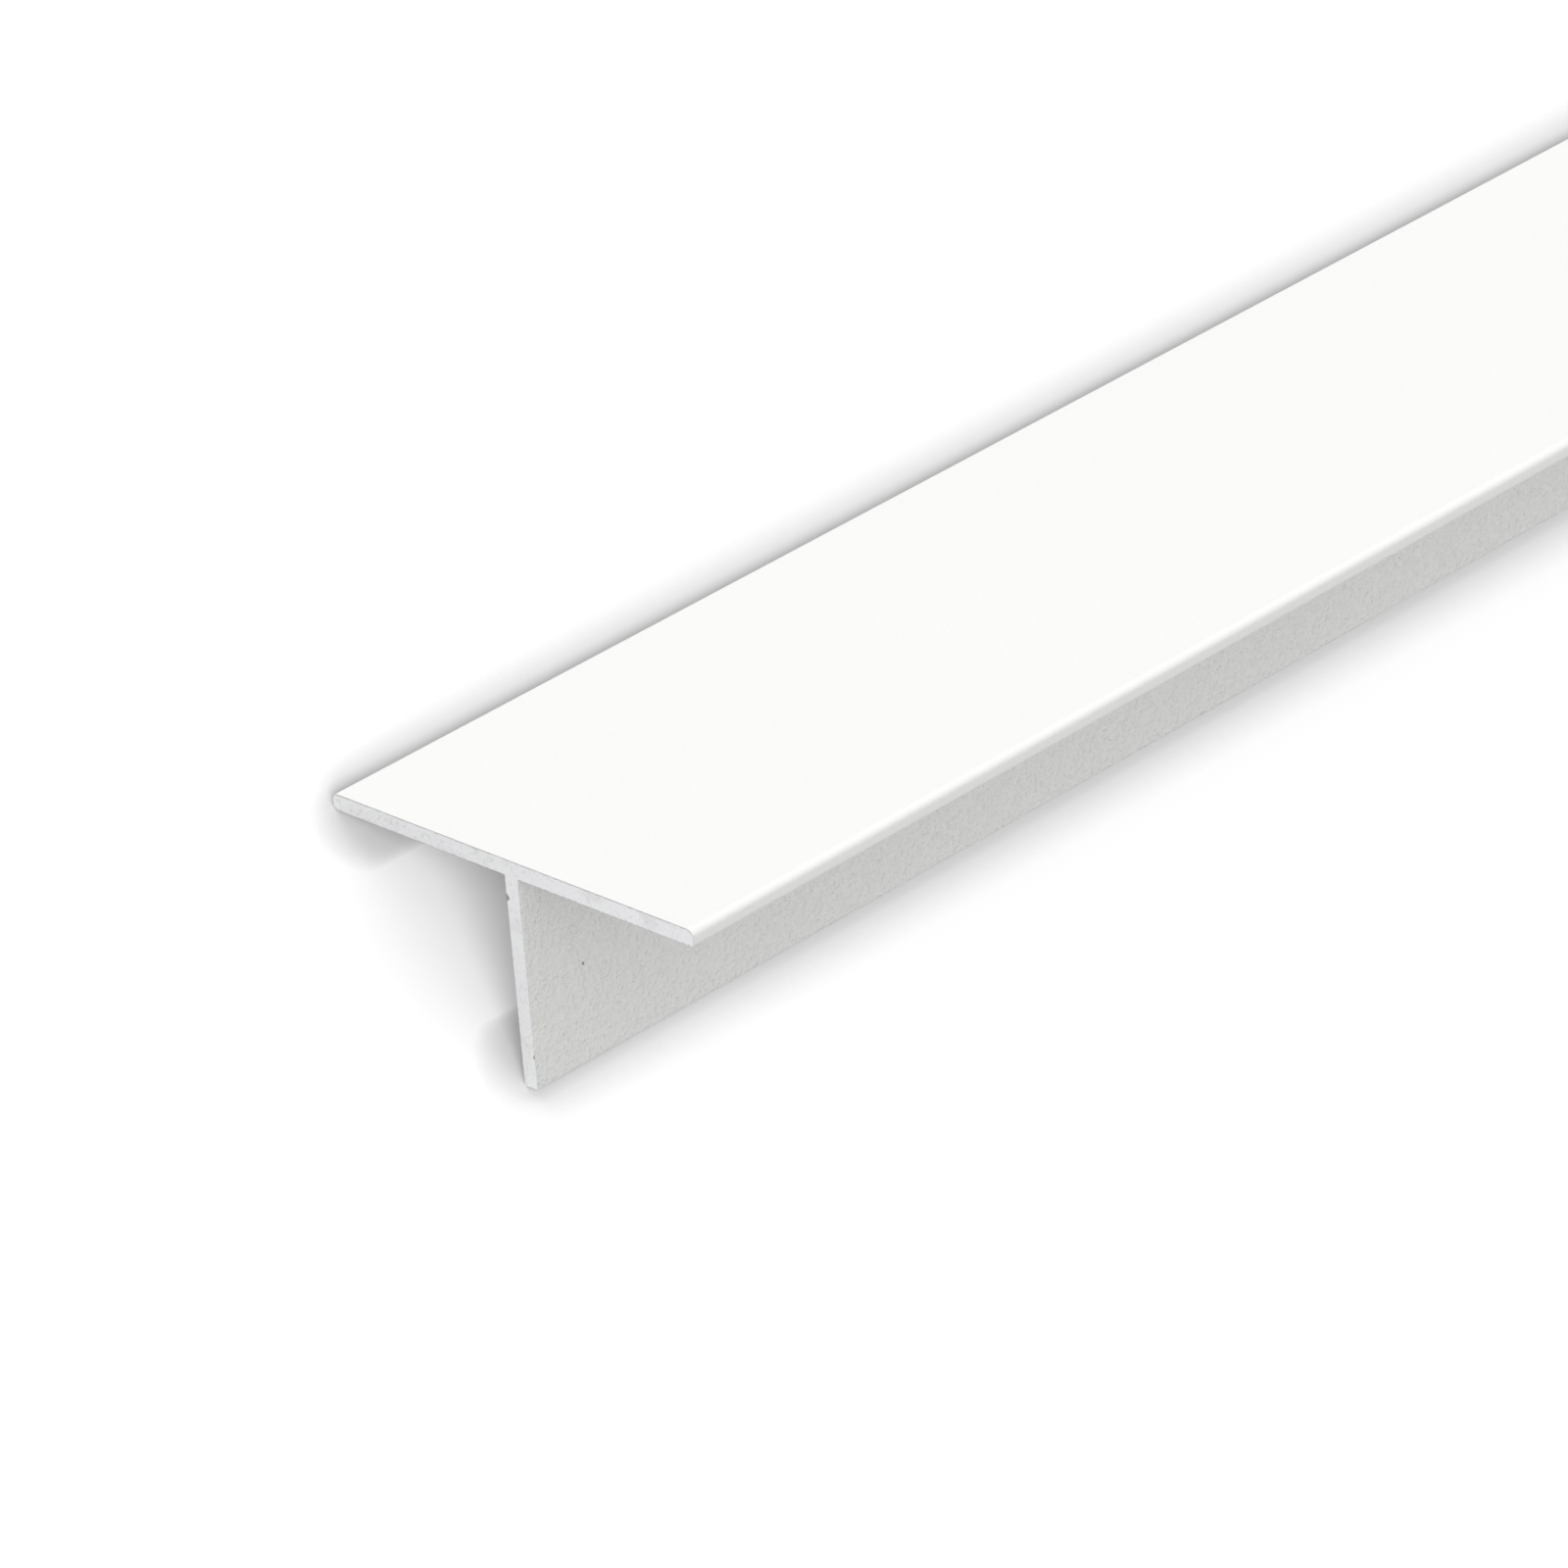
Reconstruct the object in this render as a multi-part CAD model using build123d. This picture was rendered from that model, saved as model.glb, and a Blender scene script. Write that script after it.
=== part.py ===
"""White powder-coated aluminium T-profile for plasterboard light lines, one extruded length.

The wide flange is the face that stays in view, and the web below it goes down between the
boards and carries a light strip on each side. All sizes are in millimetres.

The profile can't stand on the thin foot of its web. It is drawn as it lies unheld on a floor,
on the hidden edge of one half of the flange and on one edge of the foot, with the outer face
of the flange turned up. +Z is up, +Y runs along the length, and the origin is on the floor
under the middle of the profile.
"""

from build123d import *

import math
import os

# Cross-section, measured with the flange level and on top
flange_width = 40.0
flange_thickness = 1.5
overall_height = 20.5
web_thickness = 1.5

# Radii of the extrusion die
face_edge_radius = 0.65
hidden_edge_radius = 0.3
root_radius = 0.3

# Stock length, sawn square at both ends
profile_length = 1000.0

# Distance under which two corners are taken as the same one
same_place = 1e-6


def section():
    """The T outline on the XZ plane, with the middle of the outer face at the origin."""
    flange = Pos(0, -flange_thickness / 2) * Rectangle(flange_width, flange_thickness)
    web = Pos(0, -overall_height / 2) * Rectangle(web_thickness, overall_height)
    outline = flange + web

    corners = outline.vertices().sort_by(Axis.Y)
    foot_corners = corners[:2]
    underside = corners[2:6].sort_by(Axis.X)
    face_corners = corners[6:]
    root_corners = underside[1:3]
    hidden_corners = [*foot_corners, underside[0], underside[3]]

    outline = fillet(face_corners, face_edge_radius)
    outline = fillet(matching(outline, hidden_corners), hidden_edge_radius)
    return fillet(matching(outline, root_corners), root_radius)


def matching(outline, corners):
    """The outline's own corners that lie where the given ones do."""
    places = [corner.center() for corner in corners]
    return [v for v in outline.vertices() if any((v.center() - p).length < same_place for p in places)]


def lean_angle():
    """Degrees by which the profile leans over, so that its two resting edges are level.

    Both edges have the same radius, so the floor is parallel to the line from the hidden
    corner of the flange to the corner of the foot.
    """
    rise = overall_height - flange_thickness
    run = (flange_width - web_thickness) / 2
    return math.degrees(math.atan2(rise, run))


def profile():
    """The extruded length, leaned over and set on the floor above the origin."""
    upright = extrude(Plane.XZ * section(), profile_length / 2, both=True)
    leaning = Rot(0, -lean_angle(), 0) * upright
    box = leaning.bounding_box()
    return Pos(-box.center().X, 0, -box.min.Z) * leaning


os.makedirs("parts", exist_ok=True)
export_step(profile(), "parts/t_profile.step")
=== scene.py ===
"""White powder-coated T-profile for plasterboard light lines, as sawn stock lying on a pale floor.

The profile's section is a flat flange with one web under its middle. It lies on the hidden
edge of one flange half and on one edge of the web's foot, with the outer face turned up.
Lengths are in metres. Section places are given with the flange level: u runs across the
flange, w runs up out of the outer face, and both are zero in the middle of that face.
"""

import logging
import math
from dataclasses import dataclass
from enum import Enum

import bpy
import numpy as np
from mathutils import Matrix, Vector


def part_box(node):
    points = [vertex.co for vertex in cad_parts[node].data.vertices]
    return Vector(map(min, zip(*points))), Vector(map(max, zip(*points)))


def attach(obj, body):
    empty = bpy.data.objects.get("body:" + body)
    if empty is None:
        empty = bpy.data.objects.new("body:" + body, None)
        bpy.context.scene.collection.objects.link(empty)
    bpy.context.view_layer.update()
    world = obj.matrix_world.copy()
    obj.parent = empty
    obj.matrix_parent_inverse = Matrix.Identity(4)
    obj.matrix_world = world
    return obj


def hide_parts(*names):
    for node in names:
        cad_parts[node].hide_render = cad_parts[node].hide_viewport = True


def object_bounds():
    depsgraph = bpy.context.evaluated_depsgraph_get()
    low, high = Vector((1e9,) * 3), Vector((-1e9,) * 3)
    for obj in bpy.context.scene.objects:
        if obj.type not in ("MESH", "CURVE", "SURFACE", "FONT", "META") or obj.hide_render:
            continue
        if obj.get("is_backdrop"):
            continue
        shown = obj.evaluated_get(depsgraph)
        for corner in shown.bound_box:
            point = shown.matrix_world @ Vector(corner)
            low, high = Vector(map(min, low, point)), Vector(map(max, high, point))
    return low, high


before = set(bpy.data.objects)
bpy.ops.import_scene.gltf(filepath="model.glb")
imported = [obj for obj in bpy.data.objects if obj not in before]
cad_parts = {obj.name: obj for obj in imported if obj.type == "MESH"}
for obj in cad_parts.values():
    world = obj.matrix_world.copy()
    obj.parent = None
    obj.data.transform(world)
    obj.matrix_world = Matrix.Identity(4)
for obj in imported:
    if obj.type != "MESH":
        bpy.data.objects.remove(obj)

MM = 0.001
NOISE_MIDDLE = 0.5
BODY = "root"
CAD_NODE = "t_profile"
RIGHT_ANGLE = math.pi / 2

# Where the coat's pit lies on the web's right side, as a distance from the near end and a height w
PIT_PLACE = (6.15 * MM, -11.68 * MM)

# The saw blade's centre as (u, w), beyond the outer face and past the flange's left end
BLADE_CENTRE = (-95.0 * MM, 140.0 * MM)

Colour = tuple[float, float, float]
Point = tuple[float, float, float]
Span = tuple[float, float]
Number = "Field | float"

log = logging.getLogger("t_profile")


class Side(Enum):
    """A flat of the section that carries a mark, by the direction it faces."""

    WEB_LEFT = (-1.0, 0.0)
    WEB_RIGHT = (1.0, 0.0)


class Zone(Enum):
    """The mesh's material indices."""

    COAT = 0
    FILM_CUT = 1
    METAL_CUT = 2


@dataclass(frozen=True)
class Field:
    """A number that changes over a surface: one output socket, with arithmetic on it."""

    sheet: "NodeSheet"
    socket: bpy.types.NodeSocket

    def _math(self, operation: str, left: Number, right: Number) -> "Field":
        """One Math node on two numbers or fields."""
        node = self.sheet.node("ShaderNodeMath", {"operation": operation}, {0: left, 1: right})
        return Field(self.sheet, node.outputs[0])

    def __add__(self, other: Number) -> "Field":
        """Self plus other."""
        return self._math("ADD", self, other)

    def __radd__(self, other: Number) -> "Field":
        """Other plus self."""
        return self._math("ADD", other, self)

    def __sub__(self, other: Number) -> "Field":
        """Self minus other."""
        return self._math("SUBTRACT", self, other)

    def __rsub__(self, other: Number) -> "Field":
        """Other minus self."""
        return self._math("SUBTRACT", other, self)

    def __mul__(self, other: Number) -> "Field":
        """Self times other."""
        return self._math("MULTIPLY", self, other)

    def __rmul__(self, other: Number) -> "Field":
        """Other times self."""
        return self._math("MULTIPLY", other, self)

    def __pow__(self, other: Number) -> "Field":
        """Self to the power of other."""
        return self._math("POWER", self, other)

    def at_least(self, low: Number) -> "Field":
        """The larger of self and low."""
        return self._math("MAXIMUM", self, low)

    def step(self, start: float, end: float) -> "Field":
        """A soft step that is 0 at start and 1 at end.

        Args:
            start: Value of self where the step begins.
            end: Value of self where it is complete. It may be below start.

        Returns:
            3 t^2 - 2 t^3 of the share t of the way from start to end.
        """
        low, high = min(start, end), max(start, end)
        node = self.sheet.node(
            "ShaderNodeMapRange",
            {"interpolation_type": "SMOOTHSTEP"},
            {"Value": self, "From Min": low, "From Max": high},
        )
        rising = Field(self.sheet, node.outputs["Result"])
        return rising if end > start else 1 - rising


class NodeSheet:
    """The node tree of one finish, written as Python expressions."""

    def __init__(self, owner: bpy.types.Material | bpy.types.World) -> None:
        """Empties the owner's tree and keeps it.

        Args:
            owner: The material or world whose nodes are made.
        """
        owner.use_nodes = True
        self.tree = owner.node_tree
        self.tree.nodes.clear()

    def node(self, kind: str, settings: dict, inputs: dict) -> bpy.types.Node:
        """Adds any node.

        Args:
            kind: Blender's type name of the node.
            settings: Node properties, set before the sockets.
            inputs: Values, fields or output sockets by socket name or number.

        Returns:
            The new node.
        """
        made = self.tree.nodes.new(kind)
        for name, value in settings.items():
            setattr(made, name, value)
        for name, value in inputs.items():
            source = value.socket if isinstance(value, Field) else value
            if isinstance(source, bpy.types.NodeSocket):
                self.tree.links.new(source, made.inputs[name])
            else:
                made.inputs[name].default_value = source
        return made

    def place(self) -> bpy.types.NodeSocket:
        """The point of the surface in the object's own coordinates."""
        return self.node("ShaderNodeTexCoord", {}, {}).outputs["Object"]

    def stretched(self, point: bpy.types.NodeSocket, scale: Point) -> bpy.types.NodeSocket:
        """The point with each coordinate multiplied by its own factor."""
        settings = {"operation": "MULTIPLY"}
        return self.node("ShaderNodeVectorMath", settings, {0: point, 1: scale}).outputs[0]

    def distance(self, point: bpy.types.NodeSocket, other: Point) -> Field:
        """How far the point is from another, as a field."""
        node = self.node("ShaderNodeVectorMath", {"operation": "DISTANCE"}, {0: point, 1: other})
        return Field(self, node.outputs["Value"])

    def along(self, point: bpy.types.NodeSocket, way: Point) -> Field:
        """How far the point lies along a direction, from the origin."""
        node = self.node("ShaderNodeVectorMath", {"operation": "DOT_PRODUCT"}, {0: point, 1: way})
        return Field(self, node.outputs["Value"])

    def noise(self, point: bpy.types.NodeSocket, size: float, detail: float = 2.0) -> Field:
        """Soft noise about 0.5 whose features are about size wide.

        Args:
            point: Where the noise is read.
            size: Width of its largest features, in the point's own unit.
            detail: How many finer octaves are added.

        Returns:
            The noise's value.
        """
        inputs = {"Vector": point, "Scale": 1 / size, "Detail": detail}
        node = self.node("ShaderNodeTexNoise", {"noise_dimensions": "3D"}, inputs)
        return Field(self, node.outputs[0])

    def lines(self, along: Field, pitch: float) -> Field:
        """Noise about 0.5 that changes only with one number, every pitch of it."""
        inputs = {"W": along, "Scale": 1 / pitch, "Detail": 2.0}
        node = self.node("ShaderNodeTexNoise", {"noise_dimensions": "1D"}, inputs)
        return Field(self, node.outputs[0])

    def blend(
        self,
        share: Number,
        first: Colour | bpy.types.NodeSocket,
        second: Colour | bpy.types.NodeSocket,
    ) -> bpy.types.NodeSocket:
        """A colour between two, by share.

        Args:
            share: 0 gives the first and 1 the second.
            first: A colour, or the socket of one.
            second: A colour, or the socket of one.

        Returns:
            The mixed colour's socket.
        """
        colours = [(*c, 1.0) if isinstance(c, tuple) else c for c in (first, second)]
        # The node's own numbers: 0 is the factor, 6 and 7 are its two colours and 2 is their mix
        inputs = {0: share, 6: colours[0], 7: colours[1]}
        return self.node("ShaderNodeMix", {"data_type": "RGBA"}, inputs).outputs[2]

    def grey(self, level: Field) -> bpy.types.NodeSocket:
        """A neutral colour of the given level."""
        return self.node("ShaderNodeCombineXYZ", {}, {0: level, 1: level, 2: level}).outputs[0]

    def bump(self, height: Field, depth: float) -> bpy.types.NodeSocket:
        """The normal of a surface raised by height times depth."""
        inputs = {"Height": height, "Distance": depth, "Strength": 1.0}
        return self.node("ShaderNodeBump", {}, inputs).outputs["Normal"]

    def surface(self, shader: bpy.types.NodeSocket) -> None:
        """Ends the tree in its output node."""
        self.node("ShaderNodeOutputMaterial", {}, {"Surface": shader})


@dataclass(frozen=True)
class Section:
    """The T section and the way it leans, with the sizes of the extrusion die.

    Attributes:
        face_edge_radius: Radius along the two edges of the outer face.
        hidden_edge_radius: Radius along the flange's other two edges and the foot's two.
        root_radius: Radius in the two corners between flange and web. It is smaller than the
            CAD's, because the photo's corner looks sharp.
    """

    flange_width: float = 40.0 * MM
    flange_thickness: float = 1.5 * MM
    overall_height: float = 20.5 * MM
    web_thickness: float = 1.5 * MM
    face_edge_radius: float = 0.65 * MM
    hidden_edge_radius: float = 0.3 * MM
    root_radius: float = 0.10 * MM

    def lean(self) -> float:
        """Radians by which the section leans, so that its two resting edges are level."""
        rise = self.overall_height - self.flange_thickness
        run = (self.flange_width - self.web_thickness) / 2
        return math.atan2(rise, run)

    def corners(self) -> tuple[np.ndarray, np.ndarray]:
        """The eight corners, counter-clockwise from the outer face's right end.

        Returns:
            Their (u, w) places and their radii.
        """
        half, web = self.flange_width / 2, self.web_thickness / 2
        under, foot = -self.flange_thickness, -self.overall_height
        face, hidden, root = self.face_edge_radius, self.hidden_edge_radius, self.root_radius
        left = [
            (-half, 0.0, face),
            (-half, under, hidden),
            (-web, under, root),
            (-web, foot, hidden),
        ]
        right = [(-u, w, radius) for u, w, radius in reversed(left)]
        table = np.array([*left, *right])
        return table[:, :2], table[:, 2]

    def outline(self, spacing: float, arc_steps: int) -> tuple[np.ndarray, np.ndarray]:
        """The closed outline with its corners rounded.

        At each corner, with d the way in and e the way out, a round stretch of radius r runs
        from r short of the corner to r past it: centre - r e cos(a) + r d sin(a), for a from 0
        to a right angle. On each flat, the share t of the way from one arc to the next becomes
        t - k sin(2 pi t) / (2 pi), which draws the points together at both ends.

        Args:
            spacing: Longest step between two points of a flat.
            arc_steps: Steps in each round corner.

        Returns:
            The (u, w) points and the outward directions at them.
        """
        crowding = 0.6
        corners, radii = self.corners()
        ahead = np.roll(corners, -1, axis=0) - corners
        out = ahead / np.linalg.norm(ahead, axis=1, keepdims=True)
        into = np.roll(out, 1, axis=0)
        turn = into[:, 0] * out[:, 1] - into[:, 1] * out[:, 0]
        centres = corners + radii[:, None] * (out - into)
        angle = np.linspace(0.0, RIGHT_ANGLE, arc_steps + 1)[None, :, None]
        spokes = into[:, None] * np.sin(angle) - out[:, None] * np.cos(angle)
        arcs = centres[:, None] + radii[:, None, None] * spokes
        arc_normals = spokes * turn[:, None, None]

        points, normals = [], []
        for arc, facing, following in zip(arcs, arc_normals, np.roll(arcs, -1, axis=0)):
            flat = following[0] - arc[-1]
            steps = max(2, math.ceil(np.linalg.norm(flat) / spacing))
            share = np.arange(1, steps) / steps
            share = share - crowding * np.sin(2 * np.pi * share) / (2 * np.pi)
            points += [arc, arc[-1] + share[:, None] * flat]
            normals += [facing, np.repeat(facing[-1:], steps - 1, axis=0)]
        return np.concatenate(points), np.concatenate(normals)


@dataclass(frozen=True)
class Placement:
    """Where the section lies in the frame, taken from the CAD node's box.

    Attributes:
        shift_x: How far the leaning section is moved along x.
        shift_z: How far it is moved up.
        near: Where the near end lies along y.
        far: Where the far end lies along y.
    """

    section: Section
    shift_x: float
    shift_z: float
    near: float
    far: float

    @classmethod
    def on_node(cls, section: Section, node: str) -> "Placement":
        """Leans the section and sets its lowest point and its middle where the node's are.

        Args:
            section: The T section.
            node: Name of the CAD node that is dressed.

        Returns:
            The placement.
        """
        low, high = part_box(node)
        points, _ = section.outline(spacing=MM, arc_steps=24)
        turned = cls(section, 0.0, 0.0, 0.0, 0.0).to_frame(points[:, 0], 0.0, points[:, 1])
        middle = (turned[:, 0].min() + turned[:, 0].max()) / 2
        bottom = turned[:, 2].min()
        return cls(section, (low.x + high.x) / 2 - middle, low.z - bottom, low.y, high.y)

    def to_frame(self, u: np.ndarray, y: np.ndarray, w: np.ndarray) -> np.ndarray:
        """Section places as frame points: (u, w) turned by the lean, then shifted.

        Args:
            u: Places across the flange.
            y: Places along the length, as the frame counts them.
            w: Heights out of the outer face.

        Returns:
            An array with x, y and z in its last axis.
        """
        lean = self.section.lean()
        x = u * math.cos(lean) - w * math.sin(lean) + self.shift_x
        z = u * math.sin(lean) + w * math.cos(lean) + self.shift_z
        return np.stack(np.broadcast_arrays(x, y, z), axis=-1)

    def matrix(self) -> Matrix:
        """The move from section places, with y zero at the near end, to the frame."""
        shift = Matrix.Translation((self.shift_x, self.near, self.shift_z))
        return shift @ Matrix.Rotation(-self.section.lean(), 4, "Y")


@dataclass(frozen=True)
class Nick:
    """A place on a sawn end where the blade tore the coat's edge back.

    Attributes:
        side: The flat that it cuts into.
        w: Height of its middle.
        length: How long it is along the side.
        depth: How far it reaches into the metal.
    """

    side: Side
    w: float
    length: float
    depth: float


@dataclass(frozen=True)
class SawnEnd:
    """One square cut: the coat's torn edge, the film's cut face and the bare metal inside.

    Attributes:
        seed: Number that the waver round the rim is drawn from.
        face_film: Thickness of the coat's film at the outer face.
        hidden_film: Its thickness on the other sides.
        lip: Width of the rounded lip between the coat and the cut.
        lip_ease: How far the lip's middle stands in from the coat and from the cut, in lips.
        metal_recess: How far the bare metal stands in from the film's cut face.
        tear: How far the film's thickness wavers, as a share of it.
        tear_limit: The waver's largest value.
        shortest_wave: Length of the shortest wave round the rim, and longest_wave the longest.
        waves: How many waves are added up.
        nicks: The places where the blade tore the edge back.
    """

    seed: int
    face_film: float = 0.10 * MM
    hidden_film: float = 0.035 * MM
    lip: float = 0.02 * MM
    lip_ease: Span = (0.3, 0.4)
    metal_recess: float = 0.012 * MM
    tear: float = 0.35
    tear_limit: float = 1.5
    shortest_wave: float = 0.6 * MM
    longest_wave: float = 9.0 * MM
    waves: int = 60
    nicks: tuple[Nick, ...] = ()

    def waver(self, travelled: np.ndarray) -> np.ndarray:
        """Uneven but repeatable waves round the rim.

        The sum over many waves of cos(2 pi n s / S + phase) / sqrt(count), where s is the
        distance travelled round the outline, S the whole way round and n a whole number.

        Args:
            travelled: Distance of each point round the outline, ending in the whole way.

        Returns:
            A value near zero for each point but the last.
        """
        draw = np.random.default_rng(self.seed)
        whole = travelled[-1]
        fewest, most = round(whole / self.longest_wave), round(whole / self.shortest_wave)
        turns = draw.integers(fewest, most, self.waves)
        phases = draw.uniform(0.0, 2 * np.pi, self.waves)
        along = travelled[:-1, None] / whole
        return np.cos(2 * np.pi * along * turns + phases).sum(axis=1) / math.sqrt(self.waves)

    def film(self, points: np.ndarray, normals: np.ndarray) -> np.ndarray:
        """Thickness of the coat's film round the rim.

        It goes from the hidden film to the face film with the share of the outward direction
        that points out of the outer face, times one plus the torn waver.

        Args:
            points: The outline's (u, w) points.
            normals: The outward directions at them.

        Returns:
            One thickness for each point.
        """
        closed = np.vstack([points, points[:1]])
        steps = np.linalg.norm(np.diff(closed, axis=0), axis=1)
        travelled = np.concatenate([[0.0], np.cumsum(steps)])
        facing = np.clip(normals[:, 1], 0.0, 1.0)
        film = self.hidden_film + (self.face_film - self.hidden_film) * facing
        torn = np.clip(self.waver(travelled), -self.tear_limit, self.tear_limit)
        return film * (1 + self.tear * torn)

    def bites(self, points: np.ndarray, normals: np.ndarray) -> np.ndarray:
        """How much further the metal's rim stands in at the nicks.

        Each nick takes its depth times exp(-(distance along the side / half its length)^4).

        Args:
            points: The outline's (u, w) points.
            normals: The outward directions at them.

        Returns:
            One depth for each point.
        """
        same_way = 0.9
        depth = np.zeros(len(points))
        for nick in self.nicks:
            on_side = normals @ np.array(nick.side.value) > same_way
            away = (points[:, 1] - nick.w) / (nick.length / 2)
            depth += nick.depth * np.exp(-(away**4)) * on_side
        return depth


@dataclass(frozen=True)
class PowderCoat:
    """White semi-matt powder coat: fine orange peel, smoother on the outer face and its edge faces.

    Attributes:
        pit: Middle of the one pit.
        face_way: The direction that the outer face looks in.
        face_level: How far the outer face lies along that direction.
        face_fade: Depths below the outer face between which the coat turns smooth.
        face_smoothness: How much of the peel is gone there.
        white: Colour of the coat.
        shade: Its colour where it lies thin, by the slow unevenness, and the painted shade in the
            low parts of the peel.
        pit_floor: The pit's deepest part, as a share of its radius.
        peel_depth: Depth of the peel's bump. Grain, die lines and the pit are shares of it.
        die_stretch: Draws the noise out along the length, for the lines that the die left.
        painted_peel_shade_step: Levels of the peel between which painted shade darkens it.
        drift_step: Levels of the slow unevenness between which it turns to shade.
        drift_gloss: How much it changes the roughness beside the peel.
    """

    pit: Point
    face_way: Point
    face_level: float
    face_fade: Span = (1.5 * MM, 1.3 * MM)
    face_smoothness: float = 0.88
    white: Colour = (0.885, 0.884, 0.874)
    # shade serves both the painted shade in the peel's low parts and the slow random unevenness of
    # the tone
    shade: Colour = (0.845, 0.844, 0.834)
    ior: float = 1.5
    roughness: float = 0.40
    roughness_spread: float = 0.10
    # The pit is painted dark as the shade in it, besides being sunk by the bump
    painted_pit_shade: Colour = (0.36, 0.35, 0.34)
    pit_radius: float = 0.16 * MM
    pit_floor: float = 0.35
    pit_share: float = 0.8
    peel_size: float = 0.5 * MM
    peel_depth: float = 0.22 * MM
    grain_size: float = 0.2 * MM
    grain_share: float = 0.3
    die_line_size: float = 0.9 * MM
    die_stretch: Point = (1.0, 0.004, 1.0)
    die_line_share: float = 0.12
    painted_peel_shade_step: Span = (0.62, 0.34)
    painted_peel_shade_share: float = 0.7
    drift_size: float = 24.0 * MM
    drift_step: Span = (0.3, 0.7)
    drift_share: float = 0.2
    drift_gloss: float = 0.6

    def material(self) -> bpy.types.Material:
        """The coat's material: two sizes of peel with painted shade in its low parts, faint die
        lines under it and one pit with painted shade in it.
        """
        made = bpy.data.materials.new("white_powder_coat")
        sheet = NodeSheet(made)
        place = sheet.place()
        peel = sheet.noise(place, self.peel_size, detail=1.0)
        grain = sheet.noise(place, self.grain_size, detail=0.0)
        drawn = sheet.noise(sheet.stretched(place, self.die_stretch), self.die_line_size)
        drift = sheet.noise(place, self.drift_size)
        from_pit = sheet.distance(place, self.pit)
        pitted = from_pit.step(self.pit_radius, self.pit_radius * self.pit_floor)

        below_face = self.face_level - sheet.along(place, self.face_way)
        rough_side = 1 - below_face.step(*self.face_fade) * self.face_smoothness
        texture = peel + grain * self.grain_share + drawn * self.die_line_share
        height = texture * rough_side - pitted * self.pit_share
        # Painted shade: the low parts of the peel are darkened in colour, mostly on the sides below
        # the outer face
        painted_peel_shade = peel.step(*self.painted_peel_shade_step) * rough_side
        painted_shade_and_drift = drift.step(*self.drift_step) * self.drift_share + painted_peel_shade * self.painted_peel_shade_share
        coated = sheet.blend(painted_shade_and_drift, self.white, self.shade)
        uneven = peel - NOISE_MIDDLE + (drift - NOISE_MIDDLE) * self.drift_gloss
        inputs = {
            "Base Color": sheet.blend(pitted, coated, self.painted_pit_shade),
            "Roughness": self.roughness + self.roughness_spread * uneven,
            "IOR": self.ior,
            "Normal": sheet.bump(height, self.peel_depth),
        }
        sheet.surface(sheet.node("ShaderNodeBsdfPrincipled", {}, inputs).outputs[0])
        return made


@dataclass(frozen=True)
class FilmCut:
    """The coat's own cut edge: dull and rough from the blade, painted grey as shade along the rim
    and paler in random patches.

    Attributes:
        painted_nick_shade_middles: Middles of the painted shade in the nicks where the blade tore
            the film.
        painted_nick_shade_core: The painted nick shade's full part, as a share of its radius.
        patch_step: Levels of the patches between which grey turns pale.
    """

    painted_nick_shade_middles: tuple[Point, ...]
    # grey is painted shade along the film's cut rim; pale is its colour in random lighter patches
    grey: Colour = (0.69, 0.69, 0.685)
    pale: Colour = (0.83, 0.83, 0.825)
    # torn is painted shade in the nicks, darker than the film's grey
    torn: Colour = (0.50, 0.50, 0.495)
    painted_nick_shade_radius: float = 0.42 * MM
    painted_nick_shade_core: float = 0.6
    roughness: float = 0.75
    patch_size: float = 0.5 * MM
    patch_step: Span = (0.35, 0.65)
    patch_depth: float = 0.02 * MM

    def material(self) -> bpy.types.Material:
        """The film's material: painted grey shade, uneven along the rim, and darker painted shade
        where the blade tore it.
        """
        made = bpy.data.materials.new("coat_film_cut")
        sheet = NodeSheet(made)
        place = sheet.place()
        patches = sheet.noise(place, self.patch_size)
        colour = sheet.blend(patches.step(*self.patch_step), self.grey, self.pale)
        for tear in self.painted_nick_shade_middles:
            away = sheet.distance(place, tear)
            # Painted shade in each nick, darkest in its middle
            painted_nick_shade_mask = away.step(self.painted_nick_shade_radius, self.painted_nick_shade_radius * self.painted_nick_shade_core)
            colour = sheet.blend(painted_nick_shade_mask, colour, self.torn)
        inputs = {
            "Base Color": colour,
            "Roughness": self.roughness,
            "Normal": sheet.bump(patches, self.patch_depth),
        }
        sheet.surface(sheet.node("ShaderNodeBsdfPrincipled", {}, inputs).outputs[0])
        return made


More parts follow.
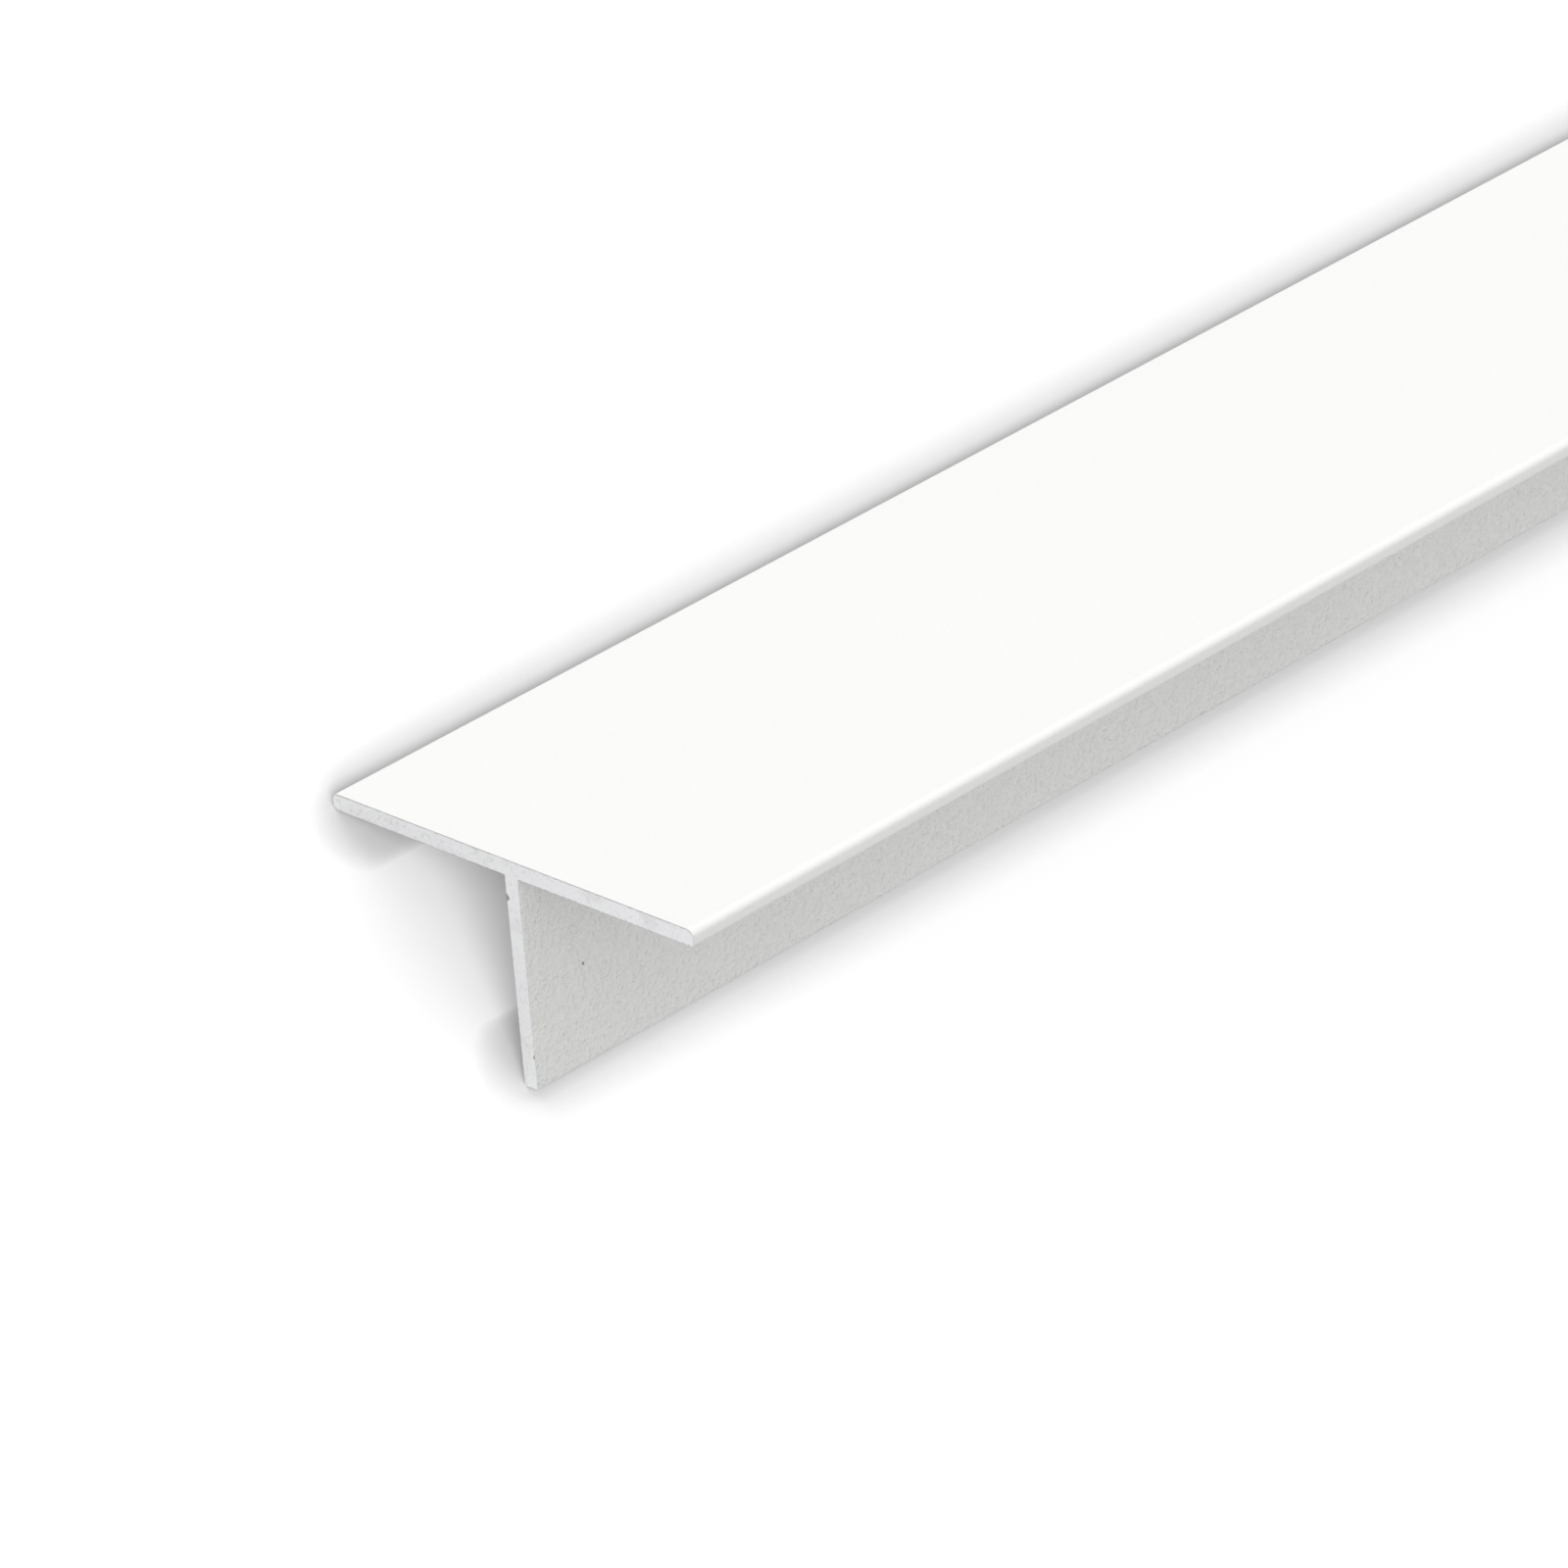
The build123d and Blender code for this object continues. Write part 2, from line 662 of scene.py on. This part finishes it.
@dataclass(frozen=True)
class SawnAluminium:
    """Bare aluminium as a fine saw leaves it: satin, with faint arcs and uneven smear.

    Attributes:
        blade_centre: The saw blade's centre, in the plane of the cut.
        bright: Colour of clean metal. Half of it is tinted, cool or green in turns.
        dull: Colour of worn metal.
        tint_step: Levels of the tint's noise between which cool turns green.
        smear_step: Levels of the smear between which metal turns dull. The flecks, arcs and
            grain have such levels too, and each one's share says how dull it makes the metal.
        entry: Distances from the blade's centre between which the cut gains the entry's wear.
        entry_wear: How much more worn the metal is there.
        cut_depth: Depth of the arcs' bump, and grain_height is the grain's share of it.
    """

    blade_centre: Point
    bright: Colour = (0.735, 0.735, 0.74)
    dull: Colour = (0.59, 0.59, 0.595)
    cool: Colour = (0.71, 0.705, 0.735)
    green: Colour = (0.71, 0.73, 0.72)
    tint_size: float = 3.68 * MM
    tint_step: Span = (0.42, 0.62)
    tint_share: float = 0.5
    roughness: float = 0.46
    roughness_spread: float = 0.3
    smear_size: float = 1.6 * MM
    smear_step: Span = (0.52, 0.72)
    smear_share: float = 0.4
    fleck_size: float = 0.36 * MM
    fleck_step: Span = (0.54, 0.68)
    fleck_share: float = 0.45
    arc_pitch: float = 0.17 * MM
    arc_step: Span = (0.55, 0.8)
    arc_share: float = 0.15
    grain_size: float = 0.14 * MM
    grain_step: Span = (0.35, 0.62)
    grain_height: float = 0.7
    entry: Span = (175.0 * MM, 161.0 * MM)
    entry_wear: float = 0.30
    cut_depth: float = 0.010 * MM

    def material(self) -> bpy.types.Material:
        """The cut metal's material: rings about the blade's centre, more worn where it went in."""
        made = bpy.data.materials.new("sawn_aluminium")
        sheet = NodeSheet(made)
        place = sheet.place()
        level = sheet.stretched(place, (1.0, 0.0, 1.0))
        ring = sheet.distance(level, self.blade_centre)
        arcs = sheet.lines(ring, self.arc_pitch)
        entered = ring.step(*self.entry)
        smear = sheet.noise(place, self.smear_size, detail=3.0)
        tint = sheet.noise(place, self.tint_size)
        flecks = sheet.noise(place, self.fleck_size, detail=1.0)
        grain = sheet.noise(place, self.grain_size)

        tinted = sheet.blend(tint.step(*self.tint_step), self.cool, self.green)
        clean = sheet.blend(self.tint_share, self.bright, tinted)
        marks = (
            smear.step(*self.smear_step) * self.smear_share
            + flecks.step(*self.fleck_step) * self.fleck_share
            + arcs.step(*self.arc_step) * self.arc_share
        )
        worn = marks + entered * self.entry_wear * (grain.step(*self.grain_step) + marks)
        inputs = {
            "Base Color": sheet.blend(worn, clean, self.dull),
            "Metallic": 1.0,
            "Roughness": self.roughness + self.roughness_spread * (smear - NOISE_MIDDLE),
            "Normal": sheet.bump(arcs + grain * self.grain_height, self.cut_depth),
        }
        sheet.surface(sheet.node("ShaderNodeBsdfPrincipled", {}, inputs).outputs[0])
        return made


@dataclass(frozen=True)
class ProfileLength:
    """The one piece of stock: the section carried along its length, with both sawn ends.

    Attributes:
        spacing: Longest step between two points of the outline.
        arc_steps: Steps in each round corner.
        span: Longest step along the length.
        edge_rings: Distances from an end at which copies of the section stand, in lips.
        sharp_angle: Angle over which an edge of the mesh stays sharp.
    """

    placement: Placement
    near_end: SawnEnd
    far_end: SawnEnd
    spacing: float = 0.15 * MM
    arc_steps: int = 12
    span: float = 25.0 * MM
    edge_rings: tuple[float, ...] = (0.0, 3.0, 10.0, 30.0, 120.0)
    sharp_angle: float = math.radians(40.0)
    name: str = "coated_t_profile"

    def stations(self) -> tuple[np.ndarray, np.ndarray]:
        """Where the section's copies stand along the length, from one end to the other.

        The first copies at each end stand at multiples of its lip. Between them they stand an
        equal step apart, of the span at most.

        Returns:
            Distance of each copy from the end it belongs to, and the side of that end, -1 near
            and +1 far.
        """
        length = self.placement.far - self.placement.near
        rims = np.array(self.edge_rings) * self.near_end.lip
        inner = np.linspace(rims[-1], length / 2, math.ceil(length / 2 / self.span) + 1)[1:]
        half = np.concatenate([rims, inner])
        away = np.concatenate([half, half[-2::-1]])
        side = np.concatenate([-np.ones(len(half)), np.ones(len(half) - 1)])
        return away, side

    def end_rings(
        self, end: SawnEnd, points: np.ndarray, normals: np.ndarray
    ) -> tuple[np.ndarray, np.ndarray]:
        """The rings of one sawn end, from the bare metal out to the coat.

        Args:
            end: The end whose rings are made.
            points: The outline's (u, w) points.
            normals: The outward directions at them.

        Returns:
            The (u, w) points of the metal's rim, of the film's inner and outer rim and of the
            coat's rounded lip, and how far each ring stands in from the cut.
        """
        eased_out, eased_in = end.lip_ease
        film = end.film(points, normals)[:, None]
        lip = end.lip * (film / film.mean())
        metal = points - normals * (film + end.bites(points, normals)[:, None])
        rim = points - normals * lip
        eased = points - normals * lip * eased_out
        rings = np.stack([metal, metal, rim, eased])
        return rings, np.array([end.metal_recess, 0.0, 0.0, end.lip * eased_in])

    def mesh(self) -> bpy.types.Mesh:
        """The closed surface: a grid of outline points by rings, with a cap on each end."""
        points, normals = self.placement.section.outline(self.spacing, self.arc_steps)
        away, side = self.stations()
        near_rings, near_in = self.end_rings(self.near_end, points, normals)
        far_rings, far_in = self.end_rings(self.far_end, points, normals)
        body = np.broadcast_to(points, (len(away) - 2, *points.shape))
        outlines = np.concatenate([near_rings, body, far_rings[::-1]])
        near, far = self.placement.near, self.placement.far
        along = np.where(side < 0, near + away, far - away)[1:-1]
        along = np.concatenate([near + near_in, along, far - far_in[::-1]])
        grid = self.placement.to_frame(outlines[..., 0], along[:, None], outlines[..., 1])

        rows, columns = grid.shape[:2]
        index = np.arange(rows * columns).reshape(rows, columns)
        beside = np.roll(index, -1, axis=1)
        quads = np.stack([index[:-1], index[1:], beside[1:], beside[:-1]], axis=-1).reshape(-1, 4)
        caps = [index[0].tolist(), index[-1, ::-1].tolist()]

        made = bpy.data.meshes.new(self.name)
        made.from_pydata(grid.reshape(-1, 3).tolist(), [], quads.tolist() + caps)
        strip_zone = np.full(rows - 1, Zone.COAT.value)
        strip_zone[[0, -1]] = Zone.METAL_CUT.value
        strip_zone[[1, -2]] = Zone.FILM_CUT.value
        zones = np.concatenate([np.repeat(strip_zone, columns), [Zone.METAL_CUT.value] * len(caps)])
        made.polygons.foreach_set("material_index", zones.astype(np.int32))
        made.polygons.foreach_set("use_smooth", zones == Zone.COAT.value)
        made.set_sharp_from_angle(angle=self.sharp_angle)
        made.update()
        return made

    def build(self, finishes: list[bpy.types.Material]) -> bpy.types.Object:
        """Makes the piece, dresses it and lets it stand for the CAD node.

        Args:
            finishes: The materials in the order of Zone.

        Returns:
            The piece's object.
        """
        piece = bpy.data.objects.new(self.name, self.mesh())
        bpy.context.scene.collection.objects.link(piece)
        for finish in finishes:
            piece.data.materials.append(finish)
        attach(piece, BODY)
        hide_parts(CAD_NODE)
        return piece


@dataclass(frozen=True)
class PhotoCamera:
    """The camera, placed about the profile with its flange level, as eight edges of it show.

    Attributes:
        picture_side: Width and height of the picture, in pixels.
        focal_length: The lens, in pixels.
        near_end_seen: The outer face's middle at the near end, seen from the camera: flange
            widths to the right, down and away.
        sensor: Width of the sensor in Blender's millimetres.
    """

    azimuth: float = math.radians(45.66)
    elevation: float = math.radians(27.21)
    roll: float = math.radians(-4.77)
    picture_side: float = 1600.0
    focal_length: float = 10838.0
    near_end_seen: Point = (-0.539, 0.150, 20.846)
    sensor: float = 36.0
    clip: Span = (0.01, 100.0)

    def build(self, placement: Placement) -> bpy.types.Object:
        """Makes the scene's camera, as far back from the near end as near_end_seen says.

        Args:
            placement: Where the profile lies.

        Returns:
            The camera's object.
        """
        back = Vector(
            (
                math.sin(self.azimuth) * math.cos(self.elevation),
                -math.cos(self.azimuth) * math.cos(self.elevation),
                math.sin(self.elevation),
            )
        )
        right = Vector((math.cos(self.azimuth), math.sin(self.azimuth), 0.0))
        down = (-back).cross(right)
        cos_roll, sin_roll = math.cos(self.roll), math.sin(self.roll)
        rolled_right = right * cos_roll - down * sin_roll
        rolled_down = right * sin_roll + down * cos_roll
        unit = placement.section.flange_width
        to_right, to_down, to_front = (seen * unit for seen in self.near_end_seen)
        centre = back * to_front - rolled_right * to_right - rolled_down * to_down
        turn = Matrix((rolled_right, -rolled_down, back)).transposed().to_4x4()

        data = bpy.data.cameras.new("photo_camera")
        data.sensor_width = self.sensor
        data.lens = self.focal_length / self.picture_side * self.sensor
        data.clip_start, data.clip_end = self.clip
        camera = bpy.data.objects.new("photo_camera", data)
        bpy.context.scene.collection.objects.link(camera)
        camera.matrix_world = placement.matrix() @ Matrix.Translation(centre) @ turn
        bpy.context.scene.camera = camera
        return camera


@dataclass(frozen=True)
class Lamp:
    """A soft lamp far off.

    Attributes:
        azimuth: Where it stands round the object, in degrees: 0 at -Y and 90 at +X.
        elevation: Its height above the floor, in degrees.
        level: 1 lights a face turned to it as bright as its own colour.
        softness: How wide it looks from the object, in degrees.
    """

    name: str
    azimuth: float
    elevation: float
    level: float
    softness: float

    def build(self, lit: bpy.types.Object) -> bpy.types.Object:
        """Makes the lamp.

        Args:
            lit: The one object that the lamp shines on. All others still cast shadows in it.

        Returns:
            The lamp's object.
        """
        a, e = math.radians(self.azimuth), math.radians(self.elevation)
        towards = Vector((math.sin(a) * math.cos(e), -math.cos(a) * math.cos(e), math.sin(e)))
        data = bpy.data.lights.new(self.name, "SUN")
        data.energy = self.level * math.pi
        data.angle = math.radians(self.softness)
        lamp = bpy.data.objects.new(self.name, data)
        lamp.rotation_mode = "QUATERNION"
        lamp.rotation_quaternion = towards.to_track_quat("Z", "Y")
        receivers = bpy.data.collections.new(f"lit_by_{self.name}")
        receivers.objects.link(lit)
        lamp.light_linking.receiver_collection = receivers
        bpy.context.scene.collection.objects.link(lamp)
        return lamp


@dataclass(frozen=True)
class Studio:
    """The pale floor, the lamps and the white surroundings.

    Attributes:
        sky_level: How brightly the surroundings light the object. They look white.
        floor_seen: The floor's colour as the camera sees it.
        floor_bounce: Its colour for the light that it throws back at the object.
        contact_reach: How near something has to stand to darken the floor with painted shade.
        contact_depth: How dark the painted shade is at most.
        contact_pull: How fast it grows with the share of the view that is covered.
        contact_power: How soon it then levels out.
        contact_samples: Rays that find the covered share.
    """

    key: Lamp = Lamp("key_lamp", azimuth=-95.0, elevation=41.0, level=0.430, softness=28.0)
    side: Lamp = Lamp("side_lamp", azimuth=38.0, elevation=56.0, level=0.190, softness=60.0)
    floor_lamp: Lamp = Lamp("floor_lamp", azimuth=26.0, elevation=36.0, level=1.050, softness=60.0)
    sky_level: float = 0.65
    floor_half: float = 20.0
    floor_seen: float = 0.88
    floor_bounce: float = 0.16
    contact_reach: float = 4.2 * MM
    contact_depth: float = 0.29
    contact_pull: float = 2.5
    contact_power: float = 3.0
    contact_samples: int = 12

    def seen_directly(self, sheet: NodeSheet) -> tuple[Field, Field]:
        """Which rays look at the backdrop itself, and don't gather its light.

        Args:
            sheet: The node tree that asks.

        Returns:
            1 for the camera's rays and those in a mirror or glass, and 1 for the latter alone.
        """
        path = sheet.node("ShaderNodeLightPath", {}, {}).outputs
        kinds = ("Is Camera Ray", "Is Glossy Ray", "Is Transmission Ray")
        camera, glossy, through = (Field(sheet, path[kind]) for kind in kinds)
        mirrored = glossy.at_least(through)
        return mirrored.at_least(camera), mirrored

    def covered(self, sheet: NodeSheet) -> Field:
        """The share of the view out of the floor that something within reach covers."""
        settings = {"samples": self.contact_samples}
        node = sheet.node("ShaderNodeAmbientOcclusion", settings, {"Distance": self.contact_reach})
        return 1 - Field(sheet, node.outputs["AO"])

    def surroundings(self) -> None:
        """A white world that lights the object at the sky's level."""
        world = bpy.data.worlds.new("white_surroundings")
        bpy.context.scene.world = world
        sheet = NodeSheet(world)
        seen, _ = self.seen_directly(sheet)
        strength = self.sky_level + seen * (1 - self.sky_level)
        white = {"Color": (1.0, 1.0, 1.0, 1.0), "Strength": strength}
        sky = sheet.node("ShaderNodeBackground", {}, white)
        sheet.node("ShaderNodeOutputWorld", {}, {"Surface": sky.outputs[0]})

    def floor_finish(self) -> bpy.types.Material:
        """White paper with the object's own shadow and a soft painted shade where it rests.

        With c the covered share, the painted shade is depth * (1 - max(1 - pull * c, 0)^power).

        Returns:
            The floor's material.
        """
        made = bpy.data.materials.new("pale_floor")
        sheet = NodeSheet(made)
        seen, mirrored = self.seen_directly(sheet)
        open_share = (1 - self.covered(sheet) * self.contact_pull).at_least(0.0)
        # Painted shade: the floor's colour darkens where something near covers its view, as the
        # camera sees it
        painted_contact_shade = 1 - open_share**self.contact_power
        shade = (1 - painted_contact_shade * self.contact_depth).at_least(mirrored)
        level = self.floor_bounce + seen * (shade * self.floor_seen - self.floor_bounce)
        matt = {"Base Color": sheet.grey(level), "Roughness": 1.0, "Specular IOR Level": 0.0}
        paper = sheet.node("ShaderNodeBsdfPrincipled", {}, matt)
        sheet.surface(paper.outputs[0])
        return made

    def floor(self, level: float) -> bpy.types.Object:
        """A flat square of floor under the object."""
        half = self.floor_half
        made = bpy.data.meshes.new("floor")
        around = [(-half, -half), (half, -half), (half, half), (-half, half)]
        corners = [(x, y, level) for x, y in around]
        made.from_pydata(corners, [], [(0, 1, 2, 3)])
        made.materials.append(self.floor_finish())
        floor = bpy.data.objects.new("floor", made)
        bpy.context.scene.collection.objects.link(floor)
        floor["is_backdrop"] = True
        return floor

    def build(self, piece: bpy.types.Object, level: float) -> None:
        """Makes the floor, the lamps and the world, and fixes the colours.

        Args:
            piece: The object that is shown.
            level: Height of the floor.
        """
        self.floor_lamp.build(lit=self.floor(level))
        self.key.build(lit=piece)
        self.side.build(lit=piece)
        self.surroundings()
        bpy.context.scene.view_settings.view_transform = "Standard"


def main() -> None:
    """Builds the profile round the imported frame, then the studio and the camera."""
    logging.basicConfig(level=logging.INFO, format="%(name)s: %(message)s")
    cad_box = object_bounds()
    section = Section()
    placement = Placement.on_node(section, CAD_NODE)
    half_web = section.web_thickness / 2
    from_end, pit_height = PIT_PLACE
    pit = placement.to_frame(half_web, placement.near + from_end, pit_height)
    blade_u, blade_w = BLADE_CENTRE
    blade = placement.to_frame(blade_u, 0.0, blade_w)
    nicks = (
        Nick(Side.WEB_LEFT, w=-3.5 * MM, length=0.5 * MM, depth=0.30 * MM),
        Nick(Side.WEB_RIGHT, w=-17.5 * MM, length=0.3 * MM, depth=0.18 * MM),
    )
    # Middles of the painted shade in the nicks, on the near end's film
    painted_nick_shade_middles = [
        placement.to_frame(nick.side.value[0] * (half_web - nick.depth / 2), placement.near, nick.w)
        for nick in nicks
    ]

    lean = section.lean()
    face_way = (-math.sin(lean), 0.0, math.cos(lean))
    face_level = float(placement.to_frame(0.0, 0.0, 0.0) @ np.array(face_way))

    stock = ProfileLength(placement, SawnEnd(seed=11, nicks=nicks), SawnEnd(seed=23))
    finishes = [
        PowderCoat(tuple(pit), face_way, face_level).material(),
        FilmCut(tuple(tuple(tear) for tear in painted_nick_shade_middles)).material(),
        SawnAluminium(tuple(blade)).material(),
    ]
    piece = stock.build(finishes)
    log.info("%s: %d faces", piece.name, len(piece.data.polygons))

    Studio().build(piece, level=cad_box[0].z)
    PhotoCamera().build(placement)


if __name__ == "__main__":
    main()
